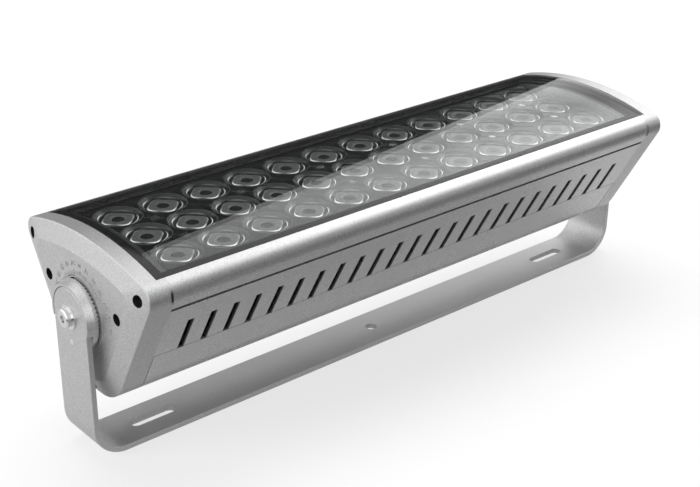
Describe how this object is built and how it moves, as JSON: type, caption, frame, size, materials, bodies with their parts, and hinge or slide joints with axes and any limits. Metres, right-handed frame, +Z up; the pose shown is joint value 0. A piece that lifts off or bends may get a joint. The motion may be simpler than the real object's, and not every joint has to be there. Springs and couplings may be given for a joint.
{
  "type": "outdoor wall washer light",
  "caption": "Long linear wall washer: arched glass over a lens array, finned silver head with vent slots and end caps, tilting on a bent-bar yoke with dial discs.",
  "frame": {"origin": "middle of the yoke's base, on the surface that it stands on", "axes": "+X along the light, +Z up, -Y towards the side whose dial windows the left end shows, +Y towards the cable gland; the glass faces +Z at rest"},
  "size_m": [0.5294, 0.1516, 0.155],
  "materials": {
    "yoke_paint": "fine-textured silver-grey powder coat",
    "cast_silver": "fine-textured silver-grey paint on cast aluminium",
    "extruded_silver": "satin silver-grey paint on extruded aluminium",
    "bright_steel": "bright steel fastener",
    "dark_steel": "blackened steel fastener",
    "brass": "turned brass",
    "nickel": "nickel-plated brass",
    "clear_glass": "clear toughened glass with a printed border",
    "seal_rubber": "black silicone rubber",
    "bearing_plastic": "black nylon",
    "board": "dark solder mask on aluminium",
    "emitter": "emitter package",
    "clear_acrylic": "clear moulded acrylic",
    "driver_case": "painted driver case",
    "terminal_plastic": "dark terminal block"
  },
  "bodies": {
    "yoke": {"yoke_bracket": "yoke_paint", "pivot_disc_left": "cast_silver", "pivot_disc_right": "cast_silver", "pivot_bolt_left": "bright_steel", "pivot_bolt_right": "bright_steel", "bolt_washer_left": "bright_steel", "bolt_washer_right": "bright_steel", "disc_dowel_left": "bright_steel", "disc_dowel_right": "bright_steel"},
    "head": {"end_cap_left": "cast_silver", "end_cap_right": "cast_silver", "heatsink_housing": "extruded_silver", "vent_panel_front": "extruded_silver", "vent_panel_rear": "extruded_silver", "bottom_cover": "extruded_silver", "lens_screws": "bright_steel", "cap_screws_left": "dark_steel", "cap_screws_right": "dark_steel", "plate_screws": "dark_steel", "driver_screws": "dark_steel", "pivot_insert_left": "brass", "pivot_insert_right": "brass", "cable_gland": "nickel", "gland_nut": "nickel", "gland_locknut": "nickel", "breather_locknut": "nickel", "breather_plug": "nickel", "cover_glass": "clear_glass", "glass_gasket": "seal_rubber", "cap_gasket_left": "seal_rubber", "cap_gasket_right": "seal_rubber", "gland_seal": "seal_rubber", "thrust_washer_left": "bearing_plastic", "thrust_washer_right": "bearing_plastic", "led_board": "board", "leds": "emitter", "lens_module_1": "clear_acrylic", "lens_module_2": "clear_acrylic", "lens_module_3": "clear_acrylic", "lens_module_4": "clear_acrylic", "lens_module_5": "clear_acrylic", "lens_module_6": "clear_acrylic", "led_driver": "driver_case", "driver_plate": "extruded_silver", "terminal_block": "terminal_plastic"}
  },
  "joints": [
    {"name": "tilt", "type": "hinge", "parent": "yoke", "child": "head", "pos_m": [0, 0, 0.102], "axis": [1, 0, 0], "range_deg": [-90, 90]}
  ]
}
